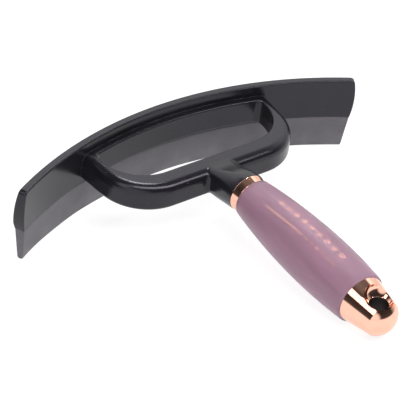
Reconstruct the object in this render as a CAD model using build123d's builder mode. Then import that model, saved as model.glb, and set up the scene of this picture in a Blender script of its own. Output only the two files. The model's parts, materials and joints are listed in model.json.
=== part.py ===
from build123d import *
from math import asin, atan2, cos, degrees, radians, sin
import os

# ---------------------------------------------------------------- horse sweat scraper
# A rigid hand tool: an arched blade across the front, a D-shaped frame behind it and a
# straight gel grip in line with the blade's middle.
#
# The tool has its own axes: X across, Y from the grip towards the blade, Z up the
# blade, with zero at the blade's crown on the lip's lower edge. It is drawn standing as
# it rests on a table, on the two ends of its lip and the far end of the grip, so those
# axes are tipped back by REST_TILT. All sketches stand on planes of the tipped tool.

# ---------------------------------------------------------------- driving dimensions (mm)
BLADE_CHORD = 250.0          # width across the two ends of the spine
BLADE_HALF_ANGLE = 30.25     # half of the arch, seen from above, at the ends' fullest
BLADE_HEIGHT = 51.4          # lip edge to top of spine
BLANK_HALF_ANGLE = 31.0      # the blade is swept this far, then its ends are trimmed
END_TOP_INSET = 1.9          # the ends' outline swells out, then draws in to the lip's tip
END_FULLEST_HEIGHT = 36.5
END_FOOT_INSET = 1.2
END_TIP_INSET = 3.3
END_WASTE = 12.0             # reach of the trimming cut past the ends and walls

SPINE_FOOT = 23.8            # height where the hard spine gives way to the soft lip
SPINE_TOP_WIDTH = 5.0
SPINE_BULGE = 2.2            # how far the front face swells out above its foot
SPINE_BULGE_HEIGHT = 27.5
SPINE_FOOT_BULGE = 1.4       # and how much of that is left at the foot
SPINE_SHOULDER = 4.0         # rounding where the front face turns in to the foot
SPINE_CORNER = 3.0
SPINE_TOP_EDGE = 0.9

LIP_END_INSET = 0.2          # the lip stops just short of the spine's ends
LIP_TIP_WIDTH = 3.8
LIP_TIP_ROUNDING = 1.4
LIP_ROOT_INSET = 0.1         # step between the hard wall's faces and the soft ones
LIP_END_EDGE = 1.2
KEY_NECK_WIDTH = 1.8         # the lip's root, held in a keyhole groove of the spine
KEY_BULB_RADIUS = 1.6
KEY_BULB_HEIGHT = 32.0
KEY_CLEARANCE = 0.05
KEY_HALF_ANGLE = 29.0        # the groove is closed at both ends
KEY_END_CLEARANCE = 0.1      # degrees
KEY_OVERLAP = 2.0            # the root reaches this far down inside the lip

FRAME_TOP = 44.0
FRAME_BOTTOM = 27.4
FRAME_FRONT = 63.5           # distance of the grip-side bar behind the blade's crown
FRAME_SIDE_AT_BLADE = 70.2
FRAME_SIDE_AT_FRONT = 64.3
FRAME_CORNER = 32.0
BACK_BAR_WIDTH = 4.6
FRAME_LET_IN = 0.5           # depth of the loop's root inside the spine's wall
FRONT_BAR_WIDTH = 14.0
OPENING_HALF_WIDTH = 61.0
OPENING_CORNER = 28.0
OPENING_BACK_CORNER = 4.0
FRAME_EDGE = 5.8             # soft outer edge on top
FRAME_UNDER_EDGE = 2.4
OPENING_EDGE = 1.1

NECK_ROOT_EDGE = 2.4         # hollow blend where the neck leaves the bar
AXIS_HEIGHT = 41.5           # centre line of neck, collar, grip and cap
NECK_END = 86.6              # distances along the grip, measured from the blade's crown
NECK_END_RADIUS = 12.4
COLLAR_END = 92.2
COLLAR_END_RADIUS = 11.5
COLLAR_BORE = 8.5
COLLAR_EDGE = 0.5
COLLAR_GAP = 0.02
TANG_SEAT_RADIUS = 8.4
TANG_RADIUS = 6.0
TANG_END = 150.0

GRIP_START_RADIUS = 12.5
GRIP_BELLY = 157.0           # where the grip is thickest
GRIP_BELLY_RADIUS = 17.5
GRIP_END = 192.6
GRIP_END_RADIUS = 15.6
GRIP_LIP = 0.9               # rounding of the gel's two end edges
GEL_THICKNESS = 2.6
FOIL_THICKNESS = 0.12        # height of the recess that the foil is printed in
FOIL_FILL = 0.7              # share of that height taken up by the foil itself
FIT_GAP = 0.1                # play between pieces that slide over each other
END_GAP = 0.05               # play between pieces that meet end to end
BORE_CLEARANCE = 1.0         # room past the ends of tang and spigot

CAP_START_RADIUS = 14.6
CAP_SHOULDER = 212.0
CAP_SHOULDER_RADIUS = 11.0
CAP_END = 218.3
SPIGOT_RADIUS = 8.0
SPIGOT_LENGTH = 13.0
HANG_HOLE = 206.5            # centre of the hanging hole along the grip
HANG_HOLE_RADIUS = 5.6
SCOOP_RADIUS = 9.5           # round hollow that leads into the hole, above and below
SCOOP_HEIGHT = 15.0

STRIPE_WIDTH = 1.2
STRIPE_SIDE = -6.5           # across the grip, from its top line
STRIPE_START = 112.0
STRIPE_END = 145.0

# ---------------------------------------------------------------- derived geometry
BLADE_RADIUS = BLADE_CHORD / 2 / sin(radians(BLADE_HALF_ANGLE))
SPINE_INNER_RADIUS = BLADE_RADIUS - SPINE_TOP_WIDTH
KEY_RADIUS = BLADE_RADIUS - SPINE_TOP_WIDTH / 2
LIP_TIP_HALF_ANGLE = BLADE_HALF_ANGLE - degrees((END_TIP_INSET + LIP_END_INSET) / BLADE_RADIUS)
LIP_HEEL = BLADE_RADIUS - (BLADE_RADIUS - LIP_TIP_WIDTH / 2) * cos(radians(LIP_TIP_HALF_ANGLE))
# The spine's front face is an arc, upright at its fullest point, that ends at the top.
SWELL_HEIGHT = BLADE_HEIGHT - SPINE_BULGE_HEIGHT
SWELL_RADIUS = (SWELL_HEIGHT**2 + SPINE_BULGE**2) / (2 * SPINE_BULGE)
SWELL_ANGLE = degrees(asin(SWELL_HEIGHT / SWELL_RADIUS))
REST_TILT = atan2(AXIS_HEIGHT - GRIP_END_RADIUS, GRIP_END - GRIP_LIP - LIP_HEEL)
# The domed end of the cap is part of a ball that passes through the shoulder.
DOME_DEPTH = CAP_END - CAP_SHOULDER
DOME_RADIUS = (CAP_SHOULDER_RADIUS**2 + DOME_DEPTH**2) / (2 * DOME_DEPTH)
DOME_ANGLE = degrees(atan2(CAP_SHOULDER_RADIUS, DOME_RADIUS - DOME_DEPTH))
FOOTPRINT = CAP_END * cos(REST_TILT) + AXIS_HEIGHT * sin(REST_TILT)

TOOL = Plane(
    origin=(0, FOOTPRINT / 2, LIP_HEEL * sin(REST_TILT)),
    x_dir=(1, 0, 0),
    z_dir=(0, -sin(REST_TILT), cos(REST_TILT)),
)


def at(x, y, z):
    """A point given along the tool's own axes."""
    return TOOL.from_local_coords(Vector(x, y, z))


TOOL_UP = Axis(at(0, 0, 0), TOOL.z_dir)
TOOL_AHEAD = Axis(at(0, 0, 0), TOOL.y_dir)
ARCH_AXIS = Axis(at(0, -BLADE_RADIUS, 0), TOOL.z_dir)
GRIP_AXIS = Axis(at(0, 0, AXIS_HEIGHT), -TOOL.y_dir)

# Lengthwise section through the grip, seen from above: X runs from the crown to the cap
# and Y is the radius, towards the right-hand side.
GRIP_SECTION = Plane(at(0, 0, AXIS_HEIGHT), x_dir=-TOOL.y_dir, z_dir=TOOL.z_dir)


def across_arch(angle):
    """Upright section of the blade at an angle from its crown: X is the radius."""
    outward = TOOL.x_dir * sin(radians(angle)) + TOOL.y_dir * cos(radians(angle))
    return Plane(at(0, -BLADE_RADIUS, 0), x_dir=outward, z_dir=outward.cross(TOOL.z_dir))


def across_grip(distance, height):
    """Upright section of the neck, square to the grip, with Y upwards."""
    return Plane(at(0, -distance, height), x_dir=TOOL.x_dir, z_dir=-TOOL.y_dir)


def past_end(side, inset):
    """Upright plane along the blade's wall at one end: X points out past that end."""
    angle = radians(side * BLADE_HALF_ANGLE)
    outward = TOOL.x_dir * sin(angle) + TOOL.y_dir * cos(angle)
    along = (TOOL.x_dir * cos(angle) - TOOL.y_dir * sin(angle)) * side
    corner = at(0, -BLADE_RADIUS, 0) + outward * BLADE_RADIUS - along * inset
    return Plane(corner, x_dir=along, z_dir=along.cross(TOOL.z_dir))


def end_outline():
    """What is trimmed off past one end of the blade, seen square to its wall."""
    ThreePointArc(
        (-END_TOP_INSET, BLADE_HEIGHT), (0, END_FULLEST_HEIGHT), (-END_FOOT_INSET, SPINE_FOOT)
    )
    Polyline(
        (-END_FOOT_INSET, SPINE_FOOT),
        (-END_TIP_INSET, 0),
        (-END_TIP_INSET, -END_WASTE),
        (END_WASTE, -END_WASTE),
        (END_WASTE, BLADE_HEIGHT + END_WASTE),
        (-END_TOP_INSET, BLADE_HEIGHT + END_WASTE),
        (-END_TOP_INSET, BLADE_HEIGHT),
    )


def end_faces(piece):
    """The two faces at the ends of an arched piece."""
    across = piece.faces().sort_by(Axis.X)
    return (across[0], across[-1])


def in_neck_root(edge):
    """Whether an edge lies where the neck leaves the grip-side bar."""
    place = TOOL.to_local_coords(edge.center())
    reach = NECK_END_RADIUS + NECK_ROOT_EDGE
    return abs(place.X) < reach and -FRAME_FRONT - 1 < place.Y < -FRAME_FRONT + reach


# ---------------------------------------------------------------- spine
# Arched wall of the hard moulding. Its front face leans out towards the foot and then
# turns in to meet the lip.
with BuildPart() as spine:
    with BuildSketch(across_arch(BLANK_HALF_ANGLE)) as spine_profile:
        with BuildLine():
            Polyline(
                (BLADE_RADIUS, BLADE_HEIGHT),
                (SPINE_INNER_RADIUS, BLADE_HEIGHT),
                (SPINE_INNER_RADIUS, SPINE_FOOT),
                (BLADE_RADIUS + SPINE_FOOT_BULGE, SPINE_FOOT),
                (BLADE_RADIUS + SPINE_BULGE, SPINE_BULGE_HEIGHT),
            )
            JernArc(
                (BLADE_RADIUS + SPINE_BULGE, SPINE_BULGE_HEIGHT),
                (0, 1),
                SWELL_RADIUS,
                SWELL_ANGLE,
            )
        make_face()
        fillet(spine_profile.vertices().sort_by(Axis.X)[-1], SPINE_SHOULDER)
    revolve(axis=ARCH_AXIS, revolution_arc=2 * BLANK_HALF_ANGLE)
    for side in (1, -1):
        with BuildSketch(past_end(side, 0)):
            with BuildLine():
                end_outline()
            make_face()
        extrude(amount=END_WASTE, both=True, mode=Mode.SUBTRACT)
    fillet([end.edges().sort_by(TOOL_UP)[-1] for end in end_faces(spine)], SPINE_CORNER)
    fillet(spine.faces().sort_by(TOOL_UP)[-1].edges(), SPINE_TOP_EDGE)
    # Keyhole groove for the lip's root, closed at both ends.
    with BuildSketch(across_arch(KEY_HALF_ANGLE + KEY_END_CLEARANCE)):
        with Locations((KEY_RADIUS, (SPINE_FOOT + KEY_BULB_HEIGHT) / 2)):
            Rectangle(KEY_NECK_WIDTH + 2 * KEY_CLEARANCE, KEY_BULB_HEIGHT - SPINE_FOOT)
        with Locations((KEY_RADIUS, KEY_BULB_HEIGHT)):
            Circle(KEY_BULB_RADIUS + KEY_CLEARANCE)
    groove_arc = 2 * (KEY_HALF_ANGLE + KEY_END_CLEARANCE)
    revolve(axis=ARCH_AXIS, revolution_arc=groove_arc, mode=Mode.SUBTRACT)

# ---------------------------------------------------------------- D-shaped frame
# Flat loop behind the spine. Its back bar lies along the spine's inner wall and is let
# a little way into it.
with BuildPart() as loop:
    with BuildSketch(TOOL.offset(FRAME_BOTTOM)) as outline:
        with BuildLine():
            Polyline(
                (-FRAME_SIDE_AT_BLADE, 0),
                (-FRAME_SIDE_AT_FRONT, -FRAME_FRONT),
                (FRAME_SIDE_AT_FRONT, -FRAME_FRONT),
                (FRAME_SIDE_AT_BLADE, 0),
                close=True,
            )
        make_face()
        fillet(outline.vertices().sort_by(Axis.Y)[:2], FRAME_CORNER)
        with Locations((0, -BLADE_RADIUS)):
            Circle(SPINE_INNER_RADIUS + FRAME_LET_IN, mode=Mode.INTERSECT)
    extrude(amount=FRAME_TOP - FRAME_BOTTOM)
    top_edges = loop.faces().sort_by(TOOL_UP)[-1].edges().sort_by(TOOL_AHEAD)[:-1]
    under_edges = loop.faces().sort_by(TOOL_UP)[0].edges().sort_by(TOOL_AHEAD)[:-1]
    fillet(top_edges, FRAME_EDGE)
    fillet(under_edges, FRAME_UNDER_EDGE)
    with BuildSketch(TOOL.offset(FRAME_BOTTOM)) as opening:
        with BuildLine():
            Polyline(
                (-OPENING_HALF_WIDTH, 0),
                (-OPENING_HALF_WIDTH, FRONT_BAR_WIDTH - FRAME_FRONT),
                (OPENING_HALF_WIDTH, FRONT_BAR_WIDTH - FRAME_FRONT),
                (OPENING_HALF_WIDTH, 0),
                close=True,
            )
        make_face()
        fillet(opening.vertices().sort_by(Axis.Y)[:2], OPENING_CORNER)
        with Locations((0, -BLADE_RADIUS)):
            Circle(SPINE_INNER_RADIUS - BACK_BAR_WIDTH, mode=Mode.INTERSECT)
        fillet(opening.vertices().sort_by(Axis.Y)[-2:], OPENING_BACK_CORNER)
    extrude(amount=FRAME_TOP - FRAME_BOTTOM, mode=Mode.SUBTRACT)
    mouth_edges = loop.faces().sort_by(TOOL_UP)[-1].inner_wires()[0].edges()
    fillet(mouth_edges, OPENING_EDGE)
    mouth_edges = loop.faces().sort_by(TOOL_UP)[0].inner_wires()[0].edges()
    fillet(mouth_edges, OPENING_EDGE)

# ---------------------------------------------------------------- neck
# Blends from a flat-topped block inside the grip-side bar to the round seat of the
# collar, so that its top climbs like a ramp.
NECK_SECTIONS = [  # distance, centre height, half width, half height, corner radius
    (55.0, 35.7, 10.0, 8.2, 3.5),
    (63.0, 36.6, 10.3, 8.9, 4.5),
    (75.0, 39.4, 11.4, 10.9, 8.0),
    (NECK_END, AXIS_HEIGHT, NECK_END_RADIUS, NECK_END_RADIUS, NECK_END_RADIUS - 0.05),
]
with BuildPart() as neck:
    for distance, height, half_width, half_height, corner in NECK_SECTIONS:
        with BuildSketch(across_grip(distance, height)):
            RectangleRounded(2 * half_width, 2 * half_height, corner)
    loft()

# ---------------------------------------------------------------- head moulding
# Spine, loop and neck are one moulding, with a stepped tang inside collar and grip.
with BuildPart() as head:
    add(spine.part)
    add(loop.part)
    edges_before = head.edges()
    add(neck.part)
    neck_root = [
        edge
        for edge in head.edges() - edges_before
        if edge.geom_type == GeomType.BSPLINE and in_neck_root(edge)
    ]
    fillet(neck_root, NECK_ROOT_EDGE)
    with BuildSketch(across_grip(NECK_END - 2.0, AXIS_HEIGHT)):
        Circle(TANG_SEAT_RADIUS)
    extrude(amount=COLLAR_END - NECK_END + 2.0)
    with BuildSketch(across_grip(COLLAR_END, AXIS_HEIGHT)):
        Circle(TANG_RADIUS)
    extrude(amount=TANG_END - COLLAR_END)
head.part.label = "head_moulding"

# ---------------------------------------------------------------- rubber lip
# Soft blade under the spine: it thins from root to tip, and a bulb along its upper edge
# sits in the spine's groove.
with BuildPart() as lip:
    with BuildSketch(across_arch(BLANK_HALF_ANGLE)) as lip_profile:
        with BuildLine():
            Polyline(
                (SPINE_INNER_RADIUS + LIP_ROOT_INSET, SPINE_FOOT),
                (BLADE_RADIUS - LIP_TIP_WIDTH, 0),
                (BLADE_RADIUS, 0),
                (BLADE_RADIUS + SPINE_FOOT_BULGE - LIP_ROOT_INSET, SPINE_FOOT),
                close=True,
            )
        make_face()
        fillet(lip_profile.vertices().sort_by(Axis.Y)[:2], LIP_TIP_ROUNDING)
    revolve(axis=ARCH_AXIS, revolution_arc=2 * BLANK_HALF_ANGLE)
    for side in (1, -1):
        with BuildSketch(past_end(side, LIP_END_INSET)):
            with BuildLine():
                end_outline()
            make_face()
        extrude(amount=END_WASTE, both=True, mode=Mode.SUBTRACT)
    for end in end_faces(lip):
        fillet(end.edges().sort_by(TOOL_UP)[:-1], LIP_END_EDGE)
    with BuildSketch(across_arch(KEY_HALF_ANGLE)):
        with Locations((KEY_RADIUS, (SPINE_FOOT + KEY_BULB_HEIGHT - KEY_OVERLAP) / 2)):
            Rectangle(KEY_NECK_WIDTH, KEY_BULB_HEIGHT - SPINE_FOOT + KEY_OVERLAP)
        with Locations((KEY_RADIUS, KEY_BULB_HEIGHT)):
            Circle(KEY_BULB_RADIUS)
    revolve(axis=ARCH_AXIS, revolution_arc=2 * KEY_HALF_ANGLE)
lip.part.label = "rubber_lip"

# ---------------------------------------------------------------- collar ring
# Narrow bright ring between neck and grip, a little slimmer than the neck.
with BuildPart() as collar:
    with BuildSketch(GRIP_SECTION) as collar_profile:
        with BuildLine():
            Polyline(
                (NECK_END + COLLAR_GAP, COLLAR_BORE),
                (NECK_END + COLLAR_GAP, NECK_END_RADIUS),
                (COLLAR_END, COLLAR_END_RADIUS),
                (COLLAR_END, COLLAR_BORE),
                close=True,
            )
        make_face()
        fillet(collar_profile.vertices().sort_by(Axis.Y)[-2:], COLLAR_EDGE)
    revolve(axis=GRIP_AXIS)
collar.part.label = "collar_ring"


def grip_line(inset, start, end):
    """Lengthwise outline of the grip, sunk by an inset: two arcs that meet at the belly."""
    belly = (GRIP_BELLY, GRIP_BELLY_RADIUS - inset)
    TangentArc(belly, (start, GRIP_START_RADIUS - inset), tangent=(-1, 0))
    TangentArc(belly, (end, GRIP_END_RADIUS - inset), tangent=(1, 0))


# ---------------------------------------------------------------- grip core
# Coloured plastic sleeve: the tang fills its front bore and the cap's spigot its rear one.
CORE_START = COLLAR_END + END_GAP
CORE_END = GRIP_END - END_GAP
CORE_INSET = GEL_THICKNESS + FOIL_THICKNESS
with BuildPart() as core:
    with BuildSketch(GRIP_SECTION):
        with BuildLine():
            grip_line(CORE_INSET, CORE_START, CORE_END)
            Polyline(
                (CORE_START, GRIP_START_RADIUS - CORE_INSET),
                (CORE_START, TANG_RADIUS + FIT_GAP),
                (TANG_END + BORE_CLEARANCE, TANG_RADIUS + FIT_GAP),
                (TANG_END + BORE_CLEARANCE, 0),
                (GRIP_END - SPIGOT_LENGTH - BORE_CLEARANCE, 0),
                (GRIP_END - SPIGOT_LENGTH - BORE_CLEARANCE, SPIGOT_RADIUS + FIT_GAP),
                (CORE_END, SPIGOT_RADIUS + FIT_GAP),
                (CORE_END, GRIP_END_RADIUS - CORE_INSET),
            )
        make_face()
    revolve(axis=GRIP_AXIS)
core.part.label = "grip_core"

# ---------------------------------------------------------------- gel sleeve
# Clear soft barrel over the core. Its end edges stand proud of collar and cap.
with BuildPart() as gel:
    with BuildSketch(GRIP_SECTION) as gel_profile:
        with BuildLine():
            grip_line(0, CORE_START, CORE_END)
            grip_line(GEL_THICKNESS, CORE_START, CORE_END)
            Line((CORE_START, GRIP_START_RADIUS), (CORE_START, GRIP_START_RADIUS - GEL_THICKNESS))
            Line((CORE_END, GRIP_END_RADIUS), (CORE_END, GRIP_END_RADIUS - GEL_THICKNESS))
        make_face()
        gel_ends = gel_profile.vertices().group_by(Axis.X)
        fillet([gel_ends[0].sort_by(Axis.Y)[-1], gel_ends[-1].sort_by(Axis.Y)[-1]], GRIP_LIP)
    revolve(axis=GRIP_AXIS)
gel.part.label = "gel_sleeve"


# ---------------------------------------------------------------- foil skin
# Thin skin between core and gel. The printed figures are cut out of it, so they follow
# the core's swell.
FOIL_TOP_INSET = CORE_INSET - FOIL_THICKNESS * FOIL_FILL
with BuildPart() as foil_skin:
    with BuildSketch(GRIP_SECTION):
        with BuildLine():
            grip_line(FOIL_TOP_INSET, CORE_START, CORE_END)
            grip_line(CORE_INSET, CORE_START, CORE_END)
            for end, radius in ((CORE_START, GRIP_START_RADIUS), (CORE_END, GRIP_END_RADIUS)):
                Line((end, radius - FOIL_TOP_INSET), (end, radius - CORE_INSET))
        make_face()
    revolve(axis=GRIP_AXIS)

# ---------------------------------------------------------------- foil stripe
# Thin metallic line printed on the core, to one side of its top.
with BuildPart() as stripe:
    add(foil_skin.part)
    with BuildSketch(TOOL.offset(AXIS_HEIGHT)):
        with Locations((STRIPE_SIDE, -(STRIPE_START + STRIPE_END) / 2)):
            SlotOverall(STRIPE_END - STRIPE_START, STRIPE_WIDTH, rotation=90)
    extrude(amount=GRIP_BELLY_RADIUS, mode=Mode.INTERSECT)
stripe.part.label = "foil_stripe"

# ---------------------------------------------------------------- foil ornaments
# A row of small lozenges that carries the stripe on, and a row of large ones along the
# top of the grip.
ORNAMENT_ROWS = [  # name, side offset, first middle, pitch, count, length, width
    ("foil_lozenges_small", STRIPE_SIDE, 149.0, 4.8, 6, 3.6, 2.0),
    ("foil_lozenges_large", 0.6, 117.5, 6.8, 9, 5.2, 4.6),
]
ornaments = []
for row_name, side, first, pitch, count, length, width in ORNAMENT_ROWS:
    with BuildPart() as ornament:
        add(foil_skin.part)
        with BuildSketch(TOOL.offset(AXIS_HEIGHT)):
            with Locations((side, -first - pitch * (count - 1) / 2)):
                with GridLocations(0, pitch, 1, count):
                    Polygon((0, length / 2), (width / 2, 0), (0, -length / 2), (-width / 2, 0))
        extrude(amount=GRIP_BELLY_RADIUS, mode=Mode.INTERSECT)
    ornament.part.label = row_name
    ornaments.append(ornament)

# ---------------------------------------------------------------- end cap
# Bright tapered cap with a domed end, plugged into the core by a spigot. The upright
# hanging hole opens into a round scoop above and below.
with BuildPart() as cap:
    with BuildSketch(GRIP_SECTION):
        with BuildLine():
            Polyline(
                (CAP_END, 0),
                (GRIP_END - SPIGOT_LENGTH, 0),
                (GRIP_END - SPIGOT_LENGTH, SPIGOT_RADIUS),
                (GRIP_END, SPIGOT_RADIUS),
                (GRIP_END, CAP_START_RADIUS),
                (CAP_SHOULDER, CAP_SHOULDER_RADIUS),
            )
            CenterArc((CAP_END - DOME_RADIUS, 0), DOME_RADIUS, 0, DOME_ANGLE)
        make_face()
    revolve(axis=GRIP_AXIS)
    with BuildSketch(TOOL.offset(AXIS_HEIGHT)):
        with Locations((0, -HANG_HOLE)):
            Circle(HANG_HOLE_RADIUS)
    extrude(amount=CAP_START_RADIUS, both=True, mode=Mode.SUBTRACT)
    for side in (1, -1):
        with Locations(at(0, -HANG_HOLE, AXIS_HEIGHT + side * SCOOP_HEIGHT)):
            Sphere(SCOOP_RADIUS, mode=Mode.SUBTRACT)
cap.part.label = "end_cap"

# ---------------------------------------------------------------- write the pieces
os.makedirs("parts", exist_ok=True)
export_step(head.part, "parts/head_moulding.step")
export_step(lip.part, "parts/rubber_lip.step")
export_step(collar.part, "parts/collar_ring.step")
export_step(core.part, "parts/grip_core.step")
export_step(gel.part, "parts/gel_sleeve.step")
export_step(stripe.part, "parts/foil_stripe.step")
for ornament in ornaments:
    export_step(ornament.part, f"parts/{ornament.part.label}.step")
export_step(cap.part, "parts/end_cap.step")
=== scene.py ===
# %% [markdown]
# # A horse's sweat scraper
#
# A groom draws this tool over a wet horse to press the water out of the coat. A hard,
# dark moulding makes the arched spine, the D-shaped frame and the neck. A soft rubber
# lip hangs under the spine. The grip is a mauve plastic core inside a clear gel sleeve,
# between a narrow bright ring and a bright cap with a hanging hole.
#
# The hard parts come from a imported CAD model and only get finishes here. The two soft
# parts, the lip and the gel, are made again as surfaces worked out with numpy, because
# soft things are never quite as exact as a drawing.

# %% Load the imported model
import json
from math import atan2, cos, degrees, pi, radians, sin

import bpy
import numpy as np
from mathutils import Matrix, Vector


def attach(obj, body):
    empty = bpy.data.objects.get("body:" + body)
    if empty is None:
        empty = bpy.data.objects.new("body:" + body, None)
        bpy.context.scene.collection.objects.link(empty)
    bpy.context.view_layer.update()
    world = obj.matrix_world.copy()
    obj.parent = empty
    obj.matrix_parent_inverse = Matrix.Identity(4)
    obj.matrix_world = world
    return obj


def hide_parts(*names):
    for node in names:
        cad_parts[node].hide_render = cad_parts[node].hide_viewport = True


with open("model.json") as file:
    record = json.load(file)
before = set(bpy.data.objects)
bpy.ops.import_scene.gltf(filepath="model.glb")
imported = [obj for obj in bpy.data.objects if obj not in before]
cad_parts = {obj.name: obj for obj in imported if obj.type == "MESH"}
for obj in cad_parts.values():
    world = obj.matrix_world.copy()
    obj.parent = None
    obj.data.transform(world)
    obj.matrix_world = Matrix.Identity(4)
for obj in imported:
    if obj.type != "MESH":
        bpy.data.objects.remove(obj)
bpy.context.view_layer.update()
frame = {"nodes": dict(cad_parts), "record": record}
MM = 0.001
print("pieces from the model:", ", ".join(sorted(frame["nodes"])))

# %% [markdown]
# ## The tool's own axes
#
# The scraper lies tipped, on the two ends of its lip and the end of its grip, so its own
# directions are a few degrees off the table's. Shapes are far easier to write down along
# the tool itself: X across it, Y from the grip towards the blade, Z up the blade. The
# hanging hole is drilled straight along Z, and the model's record says where it is, so
# one known point and one known direction give the whole change of axes.

# %% From the tool's axes to the table's
hole = frame["record"]["mounts"][0]
tool_up = np.array(hole["axis"]) / np.linalg.norm(hole["axis"])
TILT = atan2(-tool_up[1], tool_up[2])
tool_ahead = np.array([0.0, cos(TILT), sin(TILT)])
HOLE_ALONG, AXIS_HEIGHT = 206.5 * MM, 41.5 * MM
tool_origin = np.array(hole["pos_m"]) + HOLE_ALONG * tool_ahead - AXIS_HEIGHT * tool_up


def to_table(points):
    """Points on the tool's axes (metres) become points on the table's axes: the origin
    plus each coordinate times its own direction."""
    x, y, z = np.moveaxis(np.asarray(points), -1, 0)
    sideways = np.array([1.0, 0.0, 0.0])
    return tool_origin + x[..., None] * sideways + y[..., None] * tool_ahead + z[..., None] * tool_up


print(f"tool tipped by {degrees(TILT):.2f} degrees, blade's crown at {tool_origin.round(4)}")

# %% [markdown]
# ## Camera
#
# The camera looks down on the tool from beyond the left of the grip. A long lens a metre
# away keeps the near cap and the far blade in proportion. It is placed by the direction
# it looks from, which is easier to think about than three coordinates.

# %% Place the camera
AIM = Vector((-0.02154, 0.02796, 0.025))
LOOK_FROM_AZIMUTH, LOOK_FROM_ELEVATION, CAMERA_ROLL = radians(-36.32), radians(31.11), radians(0.70)
CAMERA_DISTANCE = 1.0569
LENS_LENGTH_MM = 156.3
camera_data = bpy.data.cameras.new("camera")
camera_data.lens = LENS_LENGTH_MM
camera = bpy.data.objects.new("camera", camera_data)
bpy.context.scene.collection.objects.link(camera)
towards_camera = Vector((
    sin(LOOK_FROM_AZIMUTH) * cos(LOOK_FROM_ELEVATION),
    -cos(LOOK_FROM_AZIMUTH) * cos(LOOK_FROM_ELEVATION),
    sin(LOOK_FROM_ELEVATION),
))
camera.location = AIM + towards_camera * CAMERA_DISTANCE
facing = (-towards_camera).to_track_quat("-Z", "Y").to_matrix()
camera.rotation_euler = (facing @ Matrix.Rotation(CAMERA_ROLL, 3, "Z")).to_euler()
bpy.context.scene.camera = camera
bpy.context.view_layer.update()
print("camera stands at", tuple(round(v, 3) for v in camera.location))

# %% [markdown]
# ## Turning arrays into meshes
#
# Both soft pieces are a closed section repeated at many stations, so a piece is a grid of
# points: one row for each station, one column for each point of the section. Neighbours
# in the grid become the corners of a four-sided face. The list of faces is itself an
# array, so even a fine mesh is made without a Python loop over its points.

# %% A grid of points becomes a closed piece
def piece_from_grid(name, grid, end_faces=None):
    """Faces join point (row, column) to the next row and the next column, and the last
    column to the first. Without end_faces, the last row joins the first row too. With
    them, each one lists the columns of a flat face that closes the first and last rows."""
    rows, columns = grid.shape[:2]
    row = np.arange(rows - 1 if end_faces else rows)[:, None]
    column = np.arange(columns)[None, :]
    next_row, next_column = (row + 1) % rows, (column + 1) % columns
    corners = (row * columns + column, row * columns + next_column,
               next_row * columns + next_column, next_row * columns + column)
    faces = np.stack(corners, axis=-1).reshape(-1, 4).tolist()
    for face in end_faces or []:
        faces.append([int(point) for point in face[::-1]])
        faces.append([int(point) + (rows - 1) * columns for point in face])
    mesh = bpy.data.meshes.new(name)
    mesh.from_pydata(grid.reshape(-1, 3).tolist(), [], faces)
    mesh.shade_smooth()
    first_flat = len(faces) - 2 * len(end_faces or [])
    for flat_face in list(mesh.polygons)[first_flat:]:
        flat_face.use_smooth = False
    mesh.update()
    piece = bpy.data.objects.new(name, mesh)
    bpy.context.scene.collection.objects.link(piece)
    return piece


def volume_of(piece):
    """Signed volume: the sum over triangles of the corner vectors' triple product, over
    six. It is positive when the faces look outwards."""
    piece.data.calc_loop_triangles()
    points = np.empty(len(piece.data.vertices) * 3)
    piece.data.vertices.foreach_get("co", points)
    corners = np.empty(len(piece.data.loop_triangles) * 3, dtype=np.int32)
    piece.data.loop_triangles.foreach_get("vertices", corners)
    a, b, c = np.moveaxis(points.reshape(-1, 3)[corners.reshape(-1, 3)], 1, 0)
    return float(np.einsum("ij,ij->i", a, np.cross(b, c)).sum() / 6)


# %% [markdown]
# ## The wiping lip
#
# The lip is one strip of grey rubber, thick at the root and thin at the tip, that follows
# the spine's arch. Its root is a bulb on a thin neck, pushed along a keyhole groove in
# the spine. It could be a curve with a bevel profile, but the ends lean inwards towards
# the tip and are softly rounded, which a bevelled curve can't do. So the section is an
# array of points, each with its own end angle, carried round the arch.

# %% The lip's section
BLADE_HALF_WIDTH = 125 * MM
ARCH_HALF_ANGLE = radians(30.25)
ARCH_RADIUS = BLADE_HALF_WIDTH / sin(ARCH_HALF_ANGLE)
WALL = 5.0 * MM
ROOT_HEIGHT = 23.8 * MM
ROOT_SWELL = 1.3 * MM
ROOT_STEP = 0.1 * MM
TIP_WIDTH = 3.8 * MM
TIP_ROUNDING = 1.4 * MM
KEY_MIDDLE, KEY_HALF_NECK, KEY_BULB, KEY_HEIGHT = -2.5 * MM, 0.9 * MM, 1.6 * MM, 32.0 * MM
WALL_POINTS, TIP_CORNER_POINTS, BULB_POINTS = 14, 8, 17


def arc(centre, radius, start, end, count):
    """Points at equal steps of angle (degrees) round a centre."""
    turn = np.radians(np.linspace(start, end, count))
    return np.stack([centre[0] + radius * np.cos(turn), centre[1] + radius * np.sin(turn)], axis=1)


def straight(start, end, count):
    """Points at equal steps from start up to, but not including, end."""
    step = np.linspace(0, 1, count, endpoint=False)[:, None]
    return np.array(start) * (1 - step) + np.array(end) * step


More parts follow.
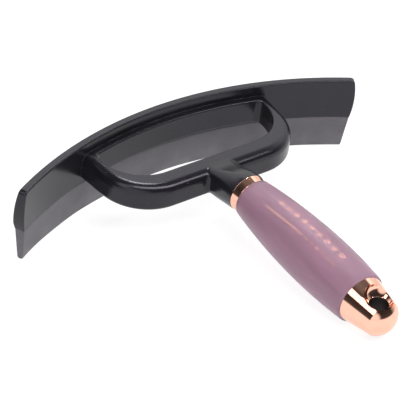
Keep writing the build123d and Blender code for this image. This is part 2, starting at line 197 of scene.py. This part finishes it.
root_inside, root_outside = -WALL + ROOT_STEP, ROOT_SWELL
bulb_gap = degrees(np.arcsin(KEY_HALF_NECK / KEY_BULB))
blade_part = np.concatenate([
    straight((root_inside, ROOT_HEIGHT), (-TIP_WIDTH, TIP_ROUNDING), WALL_POINTS),
    arc((-TIP_WIDTH + TIP_ROUNDING, TIP_ROUNDING), TIP_ROUNDING, 180, 270, TIP_CORNER_POINTS),
    arc((-TIP_ROUNDING, TIP_ROUNDING), TIP_ROUNDING, 270, 360, TIP_CORNER_POINTS),
    straight((root_outside, ROOT_HEIGHT), (0, TIP_ROUNDING), WALL_POINTS)[::-1],
])
key_part = np.concatenate([
    [[KEY_MIDDLE + KEY_HALF_NECK, ROOT_HEIGHT]],
    arc((KEY_MIDDLE, KEY_HEIGHT), KEY_BULB, -90 + bulb_gap, 270 - bulb_gap, BULB_POINTS),
    [[KEY_MIDDLE - KEY_HALF_NECK, ROOT_HEIGHT]],
])
section = np.concatenate([blade_part, key_part])
in_key = np.arange(len(section)) >= len(blade_part)
print(f"lip section: {len(section)} points, {(~in_key).sum()} of them on the wiping blade")

# %% Carry the section round the arch
LIP_END_INSET = 0.2 * MM
END_INSET_AT_ROOT, END_INSET_AT_TIP = 1.2 * MM, 3.3 * MM
END_ROUNDING = 1.1 * MM
KEY_HALF_ANGLE = radians(29.0)
RIPPLE_DEPTH, RIPPLE_LENGTH = 0.10 * MM, 41 * MM
STATIONS_NEAR_END, STATIONS_TO_MIDDLE = 8, 110

out, height = section[:, 0], section[:, 1]
share_to_tip = np.clip(1 - height / ROOT_HEIGHT, 0, 1)
end_inset = LIP_END_INSET + END_INSET_AT_ROOT + share_to_tip * (END_INSET_AT_TIP - END_INSET_AT_ROOT)
end_angle = np.where(in_key, KEY_HALF_ANGLE, ARCH_HALF_ANGLE - end_inset / ARCH_RADIUS)

near_end = END_ROUNDING * (1 - np.cos(np.linspace(0, pi / 2, STATIONS_NEAR_END)))
half_length = ARCH_RADIUS * ARCH_HALF_ANGLE
along = np.concatenate([near_end, np.linspace(END_ROUNDING, half_length, STATIONS_TO_MIDDLE)[1:]])
along = np.concatenate([along, 2 * half_length - along[-2::-1]])
from_end = np.minimum(along, 2 * half_length - along)
share = 1 - along / half_length


def lip_grid():
    """Each section point turns about the arch's centre by its own end angle times the
    station's share. Near the ends, the blade shrinks towards its middle by the drop of a
    quarter circle, which rounds the end's edges. A slow, shallow ripple towards the tip
    is what a strip of rubber that has been used always shows."""
    drop = END_ROUNDING - np.sqrt(END_ROUNDING**2 - np.clip(END_ROUNDING - from_end, 0, None) ** 2)
    drop = drop[:, None] * ~in_key
    middle = np.interp(height, [0, ROOT_HEIGHT], [-TIP_WIDTH / 2, (root_inside + root_outside) / 2])
    radius = out + np.sign(middle - out) * drop
    rise = height + drop * share_to_tip
    turn = share[:, None] * end_angle
    ripple = RIPPLE_DEPTH * np.sin(2 * pi * turn * ARCH_RADIUS / RIPPLE_LENGTH) * share_to_tip**2
    radius = ARCH_RADIUS + radius + ripple
    x = radius * np.sin(turn)
    y = radius * np.cos(turn) - ARCH_RADIUS
    return to_table(np.stack([x, y, np.broadcast_to(rise, x.shape)], axis=-1))


blade_columns = np.flatnonzero(~in_key)
key_columns = np.concatenate([blade_columns[-1:], np.flatnonzero(in_key), blade_columns[:1]])
wiping_lip = piece_from_grid("wiping_lip", lip_grid(), end_faces=[blade_columns, key_columns])
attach(wiping_lip, "root")
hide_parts("rubber_lip")
print(f"wiping lip: {len(wiping_lip.data.polygons)} faces, {volume_of(wiping_lip) * 1e6:.1f} cm3")

# %% [markdown]
# ## The gel sleeve
#
# The grip's outside is a barrel of clear, soft gel over the coloured core. It is a real
# shell with an inner wall, because the look of the grip comes from light that crosses
# the gel, meets the core and comes back: near the outline you look through more gel and
# less core, so the edges turn pale. A lathe would give a perfect barrel. Here the outer
# wall also has a few very shallow lengthwise swells, which draw the reflections out into
# the soft bands that a cast gel grip has.

# %% The barrel's outline
SLEEVE_START, SLEEVE_END = 92.25 * MM, 192.55 * MM
BELLY, BELLY_RADIUS = 157.0 * MM, 17.5 * MM
START_RADIUS, END_RADIUS = 12.5 * MM, 15.6 * MM
GEL_THICKNESS = 2.6 * MM
RIM_ROUNDING = 0.9 * MM
SWELLS, SWELL_DEPTH = 9, 0.05 * MM
STEPS_ROUND_SLEEVE = 180
OUTER_POINTS, INNER_POINTS, RIM_POINTS = 90, 60, 6


def barrel_radius(distance):
    """Radius along the grip: two circular arcs that meet at the belly with the same
    tangent, so radius = belly - (R - sqrt(R^2 - d^2)), d being the distance from the belly."""
    d = distance - BELLY
    reach = np.where(d < 0, BELLY - SLEEVE_START, SLEEVE_END - BELLY)
    sag = np.where(d < 0, BELLY_RADIUS - START_RADIUS, BELLY_RADIUS - END_RADIUS)
    bend = (reach**2 + sag**2) / (2 * sag)
    return BELLY_RADIUS - (bend - np.sqrt(bend**2 - d**2))


def sleeve_section():
    """Closed outline of the gel's wall, as distances, radii, and a 1 for each point of
    the outer skin: out along the outer face, round the far rim, back along the inner
    face, and round the near rim. A rim is a quarter circle from the outer face down to
    the flat end."""
    outer = np.linspace(SLEEVE_START + RIM_ROUNDING, SLEEVE_END - RIM_ROUNDING, OUTER_POINTS)
    inner = np.linspace(SLEEVE_END, SLEEVE_START, INNER_POINTS)
    quarter = np.linspace(0, pi / 2, RIM_POINTS + 1)[1:]
    far = SLEEVE_END - RIM_ROUNDING * (1 - np.sin(quarter))
    far_radius = barrel_radius(far) - RIM_ROUNDING * (1 - np.cos(quarter))
    near = (SLEEVE_START + RIM_ROUNDING * (1 - np.sin(quarter)))[::-1]
    near_radius = barrel_radius(near) - RIM_ROUNDING * (1 - np.cos(quarter))[::-1]
    distance = np.concatenate([outer, far, inner, near])
    radius = np.concatenate([
        barrel_radius(outer), far_radius, barrel_radius(inner) - GEL_THICKNESS, near_radius,
    ])
    is_outer = np.concatenate([
        np.ones(len(outer) + len(far)), np.zeros(len(inner)), np.ones(len(near)),
    ])
    return distance, radius, is_outer


def sleeve_grid():
    """The outline turned about the grip's axis. The outer face swells by a cosine of the
    angle times the number of swells, fading out at both rims."""
    distance, radius, is_outer = sleeve_section()
    turn = np.linspace(0, 2 * pi, STEPS_ROUND_SLEEVE, endpoint=False)[:, None]
    fade = np.sin(pi * (distance - SLEEVE_START) / (SLEEVE_END - SLEEVE_START)).clip(0) * is_outer
    full = radius + SWELL_DEPTH * fade * (np.cos(SWELLS * turn) - 1)
    x, z = full * np.sin(turn), full * np.cos(turn) + AXIS_HEIGHT
    return to_table(np.stack([x, np.broadcast_to(-distance, x.shape), z], axis=-1))


gel_barrel = piece_from_grid("gel_barrel", sleeve_grid())
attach(gel_barrel, "root")
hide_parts("gel_sleeve")
print(f"gel barrel: {len(gel_barrel.data.polygons)} faces, {volume_of(gel_barrel) * 1e6:.1f} cm3")

# %% [markdown]
# ## Building finishes
#
# Every finish is one Principled shader with patterns plugged into it. The patterns are
# read in the tool's own axes, in metres, so a grain of a fifth of a millimetre is written
# as exactly that. A Mapping node of the Texture kind undoes the tool's tilt and place,
# and gives those axes from Object coordinates.

# %% Small helpers for node trees
def start_finish(name, **constants):
    """A material with a Principled shader, its plain numbers set on the shader itself."""
    finish = bpy.data.materials.new(name)
    finish.use_nodes = True
    shader = finish.node_tree.nodes["Principled BSDF"]
    for socket, value in constants.items():
        shader.inputs[socket.replace("_", " ")].default_value = value
    return finish, finish.node_tree, shader


def node(tree, kind, links=None, values=None, **settings):
    """A new node: settings are its own switches, values its plain inputs, and links its
    inputs that come from other nodes' sockets."""
    made = tree.nodes.new("ShaderNode" + kind)
    for setting, value in settings.items():
        setattr(made, setting, value)
    for socket, value in (values or {}).items():
        made.inputs[socket].default_value = value
    for socket, source in (links or {}).items():
        tree.links.new(source, made.inputs[socket])
    return made


def tool_coordinates(tree):
    """Object coordinates turned and shifted onto the tool's axes."""
    plain = node(tree, "TexCoord").outputs["Object"]
    turned = node(tree, "Mapping", {"Vector": plain}, vector_type="TEXTURE")
    turned.inputs["Location"].default_value = tuple(tool_origin)
    turned.inputs["Rotation"].default_value = (TILT, 0, 0)
    return turned.outputs["Vector"]


def noise(tree, place, size, detail=3.0, stretch=(1, 1, 1)):
    """Noise whose blobs are about size metres across, drawn out by stretch."""
    scaled = node(tree, "Mapping", {"Vector": place})
    scaled.inputs["Scale"].default_value = tuple(1 / (size * s) for s in stretch)
    made = node(tree, "TexNoise", {"Vector": scaled.outputs[0]}, {"Scale": 1.0, "Detail": detail})
    return made.outputs["Fac"]


def spread(tree, source, low, high, to_low, to_high):
    """Maps low..high of a pattern onto to_low..to_high, and stops at both."""
    return node(
        tree, "MapRange", {"Value": source},
        {"From Min": low, "From Max": high, "To Min": to_low, "To Max": to_high},
    ).outputs[0]


def calculate(tree, operation, first, second):
    """One arithmetic step between two sockets, or a socket and a number."""
    made = node(tree, "Math", operation=operation)
    for place, value in enumerate((first, second)):
        if isinstance(value, (int, float)):
            made.inputs[place].default_value = value
        else:
            tree.links.new(value, made.inputs[place])
    return made.outputs[0]


def blend_colours(tree, share_socket, first, second):
    """Colour that goes from first to second as the share goes from 0 to 1."""
    mix = node(tree, "Mix", {"Factor": share_socket}, data_type="RGBA")
    for place, colour in ((6, first), (7, second)):
        if isinstance(colour, tuple):
            mix.inputs[place].default_value = (*colour, 1)
        else:
            tree.links.new(colour, mix.inputs[place])
    return mix.outputs[2]


def mottle(tree, pattern, first, second):
    """Colour that drifts between first and second over the middle of a noise pattern."""
    return blend_colours(tree, spread(tree, pattern, 0.3, 0.7, 0, 1), first, second)


def relief(tree, pattern, depth, strength=1.0, under=None):
    """A bump of a real depth in metres, on top of another one if given."""
    made = node(tree, "Bump", {"Height": pattern}, {"Distance": depth, "Strength": strength})
    if under is not None:
        tree.links.new(under, made.inputs["Normal"])
    return made.outputs["Normal"]


# %% [markdown]
# ## Charcoal moulding
#
# The spine, frame and neck are filled nylon in a satin black: a very fine spark-eroded
# grain, a slight orange-peel waviness, and edges that have been rubbed paler and shinier
# by hooks, hands and buckets. Rubbed edges need to know where the edges are. Painting a
# mask would tie it to one mesh. The Bevel shader node instead compares the surface's
# direction with the direction it would have if its edges were rounder, so the mask is
# right on any shape.

# %% Satin charcoal plastic
charcoal, tree, shader = start_finish("satin_charcoal_moulding", IOR=1.45)
shader.inputs["Specular Tint"].default_value = (0.92, 0.89, 1.0, 1.0)
place = tool_coordinates(tree)
grain = noise(tree, place, 0.22 * MM, detail=2.0)
peel = noise(tree, place, 9 * MM, detail=1.0)
cloud = noise(tree, place, 26 * MM, detail=4.0)
scuff = noise(tree, place, 1.1 * MM, detail=4.0, stretch=(7, 1, 1))
rounder = node(tree, "Bevel", values={"Radius": 0.9 * MM}, samples=6).outputs[0]
true_normal = node(tree, "NewGeometry").outputs["Normal"]
likeness = node(tree, "VectorMath", operation="DOT_PRODUCT")
tree.links.new(rounder, likeness.inputs[0])
tree.links.new(true_normal, likeness.inputs[1])
edge = spread(tree, likeness.outputs["Value"], 0.995, 0.93, 0.0, 1.0)
worn = calculate(tree, "MULTIPLY", edge, spread(tree, scuff, 0.42, 0.62, 0.15, 1.0))
marks = spread(tree, scuff, 0.66, 0.74, 0.0, 0.35)
rubbed = calculate(tree, "MAXIMUM", worn, marks)
body = mottle(tree, cloud, (0.0075, 0.0070, 0.0095), (0.0105, 0.0098, 0.0128))
tree.links.new(blend_colours(tree, rubbed, body, (0.060, 0.057, 0.066)), shader.inputs["Base Color"])
rough = spread(tree, cloud, 0.3, 0.7, 0.19, 0.26)
polish = calculate(tree, "MULTIPLY", worn, 0.06)
tree.links.new(calculate(tree, "SUBTRACT", rough, polish), shader.inputs["Roughness"])
waves = relief(tree, peel, 0.05 * MM, 0.5)
tree.links.new(relief(tree, grain, 0.010 * MM, 0.6, under=waves), shader.inputs["Normal"])
frame["nodes"]["head_moulding"].material_slots[0].material = charcoal
print("charcoal moulding: grain 0.22 mm, waves 9 mm, edges rubbed over 0.9 mm")

# %% [markdown]
# ## Lip rubber
#
# Soft thermoplastic rubber is greyer than the hard moulding and nearly matt. Use leaves
# fine lengthwise wipe marks, a faint bloom of dried salt near the tip and small pits. The
# marks run along the arch, so they are read in polar form: the angle about the arch's
# centre and the height, both from the tool's axes.

# %% Soft grey rubber
rubber, tree, shader = start_finish("soft_lip_rubber", IOR=1.4)
shader.inputs["Sheen Weight"].default_value = 0.04
shader.inputs["Sheen Roughness"].default_value = 0.5
place = tool_coordinates(tree)
parts = node(tree, "SeparateXYZ", {"Vector": place}).outputs
from_centre = calculate(tree, "ADD", parts["Y"], ARCH_RADIUS)
swing = calculate(tree, "ARCTAN2", parts["X"], from_centre)
run = calculate(tree, "MULTIPLY", swing, ARCH_RADIUS)
along_arch = node(tree, "CombineXYZ", {"X": run, "Z": parts["Z"]}).outputs[0]
wipes = noise(tree, along_arch, 0.5 * MM, detail=4.0, stretch=(45, 1, 1))
pits = noise(tree, place, 0.35 * MM, detail=2.0)
bloom = noise(tree, place, 12 * MM, detail=5.0)
near_tip = spread(tree, parts["Z"], 0.0, 16 * MM, 1.0, 0.0)
salt = calculate(tree, "MULTIPLY", near_tip, spread(tree, bloom, 0.4, 0.75, 0.0, 0.5))
tone = mottle(tree, bloom, (0.080, 0.075, 0.088), (0.100, 0.094, 0.109))
tone = blend_colours(tree, spread(tree, wipes, 0.35, 0.7, 0.0, 0.45), tone, (0.142, 0.137, 0.151))
tree.links.new(blend_colours(tree, salt, tone, (0.190, 0.185, 0.195)), shader.inputs["Base Color"])
tree.links.new(spread(tree, wipes, 0.3, 0.7, 0.44, 0.60), shader.inputs["Roughness"])
strokes = relief(tree, wipes, 0.02 * MM, 0.5)
tree.links.new(relief(tree, pits, 0.02 * MM, 0.5, under=strokes), shader.inputs["Normal"])
wiping_lip.data.materials.append(rubber)
print("lip rubber: wipe marks 0.5 mm by 22 mm along the arch")

# %% [markdown]
# ## Rose mirror coat
#
# The ring and the cap are plastic with a vacuum-metallised rose coat under lacquer. That
# is a metal to the eye: nearly all of the light bounces, tinted. Real ones are never
# perfect mirrors, because hair-fine handling scratches run round them and the lacquer is
# a little wavy, so a reflected lamp has a soft edge. Inside the narrow hanging hole the
# finish is painted shade: near-black, rough and not metallic, standing in for the dark of
# the deep hole. The distance from the hole's axis tells the two apart.

# %% Mirror-bright rose
HOLE_RADIUS = hole["dims"]["r_mm"] * MM
# Painted shade: from the hole's wall out to these margins, the finish fades from the dark, matt,
# non-metallic bore into the rose metal.
BORE_SHADE_START, BORE_SHADE_END = 0.03 * MM, 0.15 * MM
rose, tree, shader = start_finish("rose_mirror_coat", IOR=1.5)
place = tool_coordinates(tree)
lacquer = noise(tree, place, 6 * MM, detail=1.0)
hairs = noise(tree, place, 0.25 * MM, detail=3.0, stretch=(1, 14, 1))
smear = noise(tree, place, 5 * MM, detail=4.0)
base_rough = spread(tree, smear, 0.35, 0.75, 0.045, 0.095)
hair_rough = spread(tree, hairs, 0.60, 0.72, 0.0, 0.08)
coat_rough = calculate(tree, "ADD", base_rough, hair_rough)
parts = node(tree, "SeparateXYZ", {"Vector": place}).outputs
off_middle = calculate(tree, "ADD", parts["Y"], HOLE_ALONG)
square_across = calculate(tree, "MULTIPLY", parts["X"], parts["X"])
square_along = calculate(tree, "MULTIPLY", off_middle, off_middle)
off_axis = calculate(tree, "SQRT", calculate(tree, "ADD", square_across, square_along), 0.0)
coat_outside_bore_shade = spread(tree, off_axis, HOLE_RADIUS + BORE_SHADE_START, HOLE_RADIUS + BORE_SHADE_END, 0.0, 1.0)
tint = mottle(tree, smear, (0.920, 0.500, 0.375), (0.950, 0.540, 0.415))
# The near-black colour (0.010, 0.006, 0.005) is painted shade inside the hanging hole, where the finish
# is also not metallic and rough.
tree.links.new(blend_colours(tree, coat_outside_bore_shade, (0.010, 0.006, 0.005), tint), shader.inputs["Base Color"])
tree.links.new(coat_outside_bore_shade, shader.inputs["Metallic"])
bore_shade_rough = spread(tree, coat_outside_bore_shade, 0.0, 1.0, 0.5, 0.0)
tree.links.new(calculate(tree, "MAXIMUM", coat_rough, bore_shade_rough), shader.inputs["Roughness"])
waves = relief(tree, lacquer, 0.012 * MM, 0.4)
tree.links.new(waves, shader.inputs["Normal"])
# Both bright parts get this finish, with its painted shade inside the hanging hole.
for bright in ("collar_ring", "end_cap"):
    frame["nodes"][bright].material_slots[0].material = rose
print(f"rose coat: collar_ring and end_cap, bare within {HOLE_RADIUS / MM:.1f} mm of the hole's axis")

# %% [markdown]
# ## Mauve core
#
# The core is a glossy moulded tube of mauve plastic. Pearl pigment drifts along it as the
# melt flows in from one end, which gives pale lengthwise clouds under the gel.

# %% Pearly mauve plastic
mauve, tree, shader = start_finish("pearly_mauve_core", IOR=1.5)
place = tool_coordinates(tree)
flow = noise(tree, place, 4 * MM, detail=3.0, stretch=(1, 9, 1))
pearl = noise(tree, place, 0.4 * MM, detail=2.0)
base = mottle(tree, flow, (0.295, 0.115, 0.200), (0.385, 0.170, 0.270))
tree.links.new(
    blend_colours(tree, spread(tree, pearl, 0.62, 0.75, 0.0, 0.35), base, (0.62, 0.30, 0.48)),
    shader.inputs["Base Color"],
)
tree.links.new(spread(tree, flow, 0.3, 0.7, 0.30, 0.42), shader.inputs["Roughness"])
tree.links.new(relief(tree, pearl, 0.01 * MM, 0.4), shader.inputs["Normal"])
frame["nodes"]["grip_core"].material_slots[0].material = mauve
print("mauve core: pearl specks 0.4 mm, flow clouds 4 mm by 36 mm")

# %% [markdown]
# ## Clear gel
#
# The sleeve is a clear silicone-like gel with a satin skin. The skin scatters what passes
# through it, so the foil under it looks blurred and dull. Its look needs real refraction:
# a plain see-through surface would show the foil sharp. Fine skin grain and a few cloudy
# patches keep it from looking like glass. The inner wall touches the core with no air
# between, so there it gets an index of one, which lets light pass without bending.

# %% Satin-skinned gel
gel, tree, shader = start_finish("satin_clear_gel", IOR=1.36)
shader.inputs["Transmission Weight"].default_value = 0.90
place = tool_coordinates(tree)
skin = noise(tree, place, 0.30 * MM, detail=2.0)
haze = noise(tree, place, 7 * MM, detail=3.0, stretch=(1, 3, 1))
tree.links.new(mottle(tree, haze, (0.90, 0.78, 0.86), (0.96, 0.86, 0.93)), shader.inputs["Base Color"])
tree.links.new(spread(tree, haze, 0.3, 0.7, 0.36, 0.44), shader.inputs["Roughness"])
tree.links.new(relief(tree, skin, 0.012 * MM, 0.4), shader.inputs["Normal"])
gel_barrel.data.materials.append(gel)

clear, tree, shader = start_finish("clear_gel_inside", IOR=1.0)
shader.inputs["Transmission Weight"].default_value = 1.0
bubbles = noise(tree, tool_coordinates(tree), 1.5 * MM, detail=2.0)
tree.links.new(mottle(tree, bubbles, (0.96, 0.92, 0.95), (1.0, 0.98, 1.0)), shader.inputs["Base Color"])
tree.links.new(spread(tree, bubbles, 0.3, 0.7, 0.0, 0.04), shader.inputs["Roughness"])
gel_barrel.data.materials.append(clear)
is_inner = 1 - sleeve_section()[2]
finish_of_face = np.tile(is_inner, (STEPS_ROUND_SLEEVE, 1)).astype(np.int32)
gel_barrel.data.polygons.foreach_set("material_index", finish_of_face.reshape(-1))
print(f"gel: satin outside, clear on {int(is_inner.sum()) * STEPS_ROUND_SLEEVE} faces inside")

# %% [markdown]
# ## Rose foil
#
# The stripe and the two rows of lozenges are hot-stamped on the core. Foil never takes
# perfectly on a curved face: it is thin in places, and the mauve shows through.

# %% Stamped foil
foil, tree, shader = start_finish("stamped_rose_foil")
place = tool_coordinates(tree)
patches = noise(tree, place, 0.9 * MM, detail=4.0)
missing = spread(tree, patches, 0.52, 0.66, 0.0, 0.6)
worn_foil = blend_colours(tree, missing, (0.84, 0.46, 0.37), (0.45, 0.19, 0.29))
tree.links.new(worn_foil, shader.inputs["Base Color"])
tree.links.new(spread(tree, patches, 0.4, 0.7, 0.55, 0.1), shader.inputs["Metallic"])
tree.links.new(spread(tree, patches, 0.3, 0.7, 0.30, 0.50), shader.inputs["Roughness"])
tree.links.new(relief(tree, patches, 0.01 * MM, 0.4), shader.inputs["Normal"])
for printed in ("foil_stripe", "foil_lozenges_small", "foil_lozenges_large"):
    frame["nodes"][printed].material_slots[0].material = foil
print("rose foil: on the stripe and both rows of lozenges, patchy over 0.9 mm")

# %% [markdown]
# ## A white table
#
# Small goods are often shown on a sheet of white acrylic that is lit from below, so that
# the ground goes clean white and shadows almost vanish. A floor with a pale surface and
# some light of its own does the same.

# %% Light table
FLOOR_SIZE, FLOOR_GLOW, FLOOR_GREY = 8.0, 0.84, 0.30
reach = FLOOR_SIZE / 2
floor_corners = [(-reach, -reach, 0), (reach, -reach, 0), (reach, reach, 0), (-reach, reach, 0)]
floor_mesh = bpy.data.meshes.new("light_table")
floor_mesh.from_pydata(floor_corners, [], [(0, 1, 2, 3)])
light_table = bpy.data.objects.new("light_table", floor_mesh)
bpy.context.scene.collection.objects.link(light_table)
acrylic, tree, shader = start_finish("white_acrylic", Roughness=0.9)
shader.inputs["Base Color"].default_value = (FLOOR_GREY, FLOOR_GREY, FLOOR_GREY, 1)
shader.inputs["Specular IOR Level"].default_value = 0.0
shader.inputs["Emission Color"].default_value = (1, 1, 1, 1)
shader.inputs["Emission Strength"].default_value = FLOOR_GLOW
floor_mesh.materials.append(acrylic)
print(f"light table: {FLOOR_SIZE:.0f} m square, glows at {FLOOR_GLOW}")

# %% [markdown]
# ## Studio light
#
# Dark glossy plastic shows its surroundings more than its own colour, so the room is the
# lighting. Behind the tool a pale backdrop fades upwards, and the flat tops mirror it as
# a calm grey. In front and on the left the room is dark, which keeps the near walls deep,
# apart from a low grey card that lifts the loop's left corner. Three lamps draw the
# shapes: a wide one on the left puts a white band down the cap, a slim one above the front
# puts one crisp line on each rounded edge, and a small one behind lights the loop's near
# corner from across the tool.

# %% The room: pale behind, dark in front
BACKDROP_SIDE = (0.592, 0.806, 0.0)
CARD_SIDE = (-0.763, -0.640, 0.087)
CARD_GREY = (0.48, 0.48, 0.48)
ROOM_STRENGTH = 2.5

world = bpy.data.worlds.new("studio")
bpy.context.scene.world = world
world.use_nodes = True
tree = world.node_tree
direction = node(tree, "TexCoord").outputs["Generated"]
upward = node(tree, "SeparateXYZ", {"Vector": direction}).outputs["Z"]


def towards(side):
    """How much the direction points to a side: 1 straight at it, 0 square to it."""
    made = node(tree, "VectorMath", {0: direction}, {1: side}, operation="DOT_PRODUCT")
    return made.outputs["Value"]


def fade(stops):
    """A ramp of grey levels against the height of the direction: pairs of (place, level)."""
    ramp = node(tree, "ValToRGB", {"Fac": upward})
    elements = ramp.color_ramp.elements
    elements[0].position, elements[1].position = stops[0][0], stops[-1][0]
    for position, _ in stops[1:-1]:
        elements.new(position)
    for element, (_, level) in zip(elements, stops):
        element.color = (level, level, level, 1)
    return ramp.outputs["Color"]


backdrop = fade([(0.0, 0.38), (0.50, 0.44), (0.68, 0.70), (0.755, 0.56), (0.82, 0.08), (1.0, 0.07)])
dark_side = fade([(0.0, 0.20), (0.04, 0.06), (0.12, 0.025), (0.6, 0.012), (0.9, 0.03), (1.0, 0.08)])
behind = spread(tree, towards(BACKDROP_SIDE), -0.10, 0.45, 0.0, 1.0)
on_card = spread(tree, towards(CARD_SIDE), 0.80, 0.93, 0.0, 1.0)
room = blend_colours(tree, on_card, blend_colours(tree, behind, dark_side, backdrop), CARD_GREY)
tree.links.new(room, tree.nodes["Background"].inputs["Color"])
tree.nodes["Background"].inputs["Strength"].default_value = ROOM_STRENGTH
print("room: pale backdrop, dark front and a low grey card")

# %% Three lamps
def softbox(name, first_end, other_end, width, brightness):
    """A lamp that stretches between two points and faces the tool. Its power is
    brightness times pi times its area, so it looks equally bright whatever its size."""
    first_end, other_end = Vector(first_end), Vector(other_end)
    middle, length = (first_end + other_end) / 2, (other_end - first_end).length
    lamp = bpy.data.lights.new(name, "AREA")
    lamp.shape = "RECTANGLE"
    lamp.size, lamp.size_y = length, width
    lamp.energy = brightness * pi * length * width
    outward = middle.normalized()
    sideways = (other_end - first_end).normalized()
    sideways = (sideways - outward * sideways.dot(outward)).normalized()
    axes = Matrix((sideways, outward.cross(sideways), outward)).transposed()
    holder = bpy.data.objects.new(name, lamp)
    holder.location = middle
    holder.rotation_euler = axes.to_euler()
    bpy.context.scene.collection.objects.link(holder)
    print(f"{name}: {length:.2f} by {width:.2f} m, {lamp.energy:.1f} W")


softbox("softbox_left", (-0.69, -0.29, 0.68), (-0.67, 0.03, 0.68), 0.44, 2.4)
softbox("strip_in_front", (-0.46, -0.30, 0.98), (0.58, -0.66, 0.64), 0.24, 9.0)
softbox("small_lamp_behind", (0.274, 0.406, 0.814), (0.190, 0.282, 0.887), 0.17, 22.0)
bpy.context.scene.view_settings.view_transform = "Standard"
